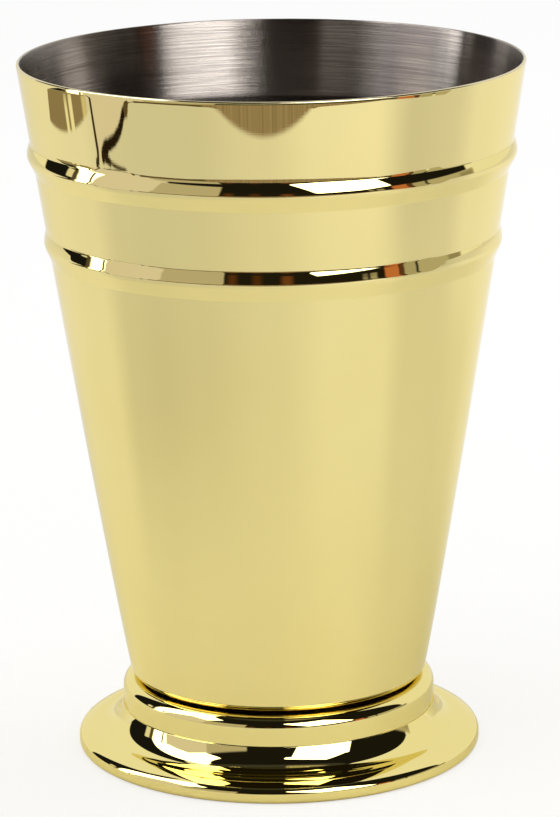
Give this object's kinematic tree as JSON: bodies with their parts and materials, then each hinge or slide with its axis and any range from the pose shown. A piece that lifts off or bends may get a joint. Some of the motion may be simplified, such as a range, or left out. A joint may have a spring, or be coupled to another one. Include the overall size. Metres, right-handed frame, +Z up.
{
  "type": "footed metal cup",
  "caption": "Tapered stainless steel bar cup with rolled beads below the rim and a spun trumpet foot, gold plated and polished outside, bare brushed steel inside.",
  "frame": {"origin": "on the cup's axis, in the plane that the foot stands on", "axes": "+Z up along the cup's axis, towards the rim; the cup is round, so X and Y are free, and -Y faces the viewer of the picture"},
  "size_m": [0.0856, 0.0856, 0.12],
  "materials": {
    "cup_gold": "stainless steel, gold plated and mirror polished outside, bare and brushed round the axis inside",
    "foot_gold": "stainless steel, gold plated and mirror polished",
    "weld_steel": "bare welded steel"
  },
  "bodies": {
    "root": {"cup_body": "cup_gold", "foot": "foot_gold", "spot_weld_1": "weld_steel", "spot_weld_2": "weld_steel", "spot_weld_3": "weld_steel", "spot_weld_4": "weld_steel"}
  },
  "joints": []
}
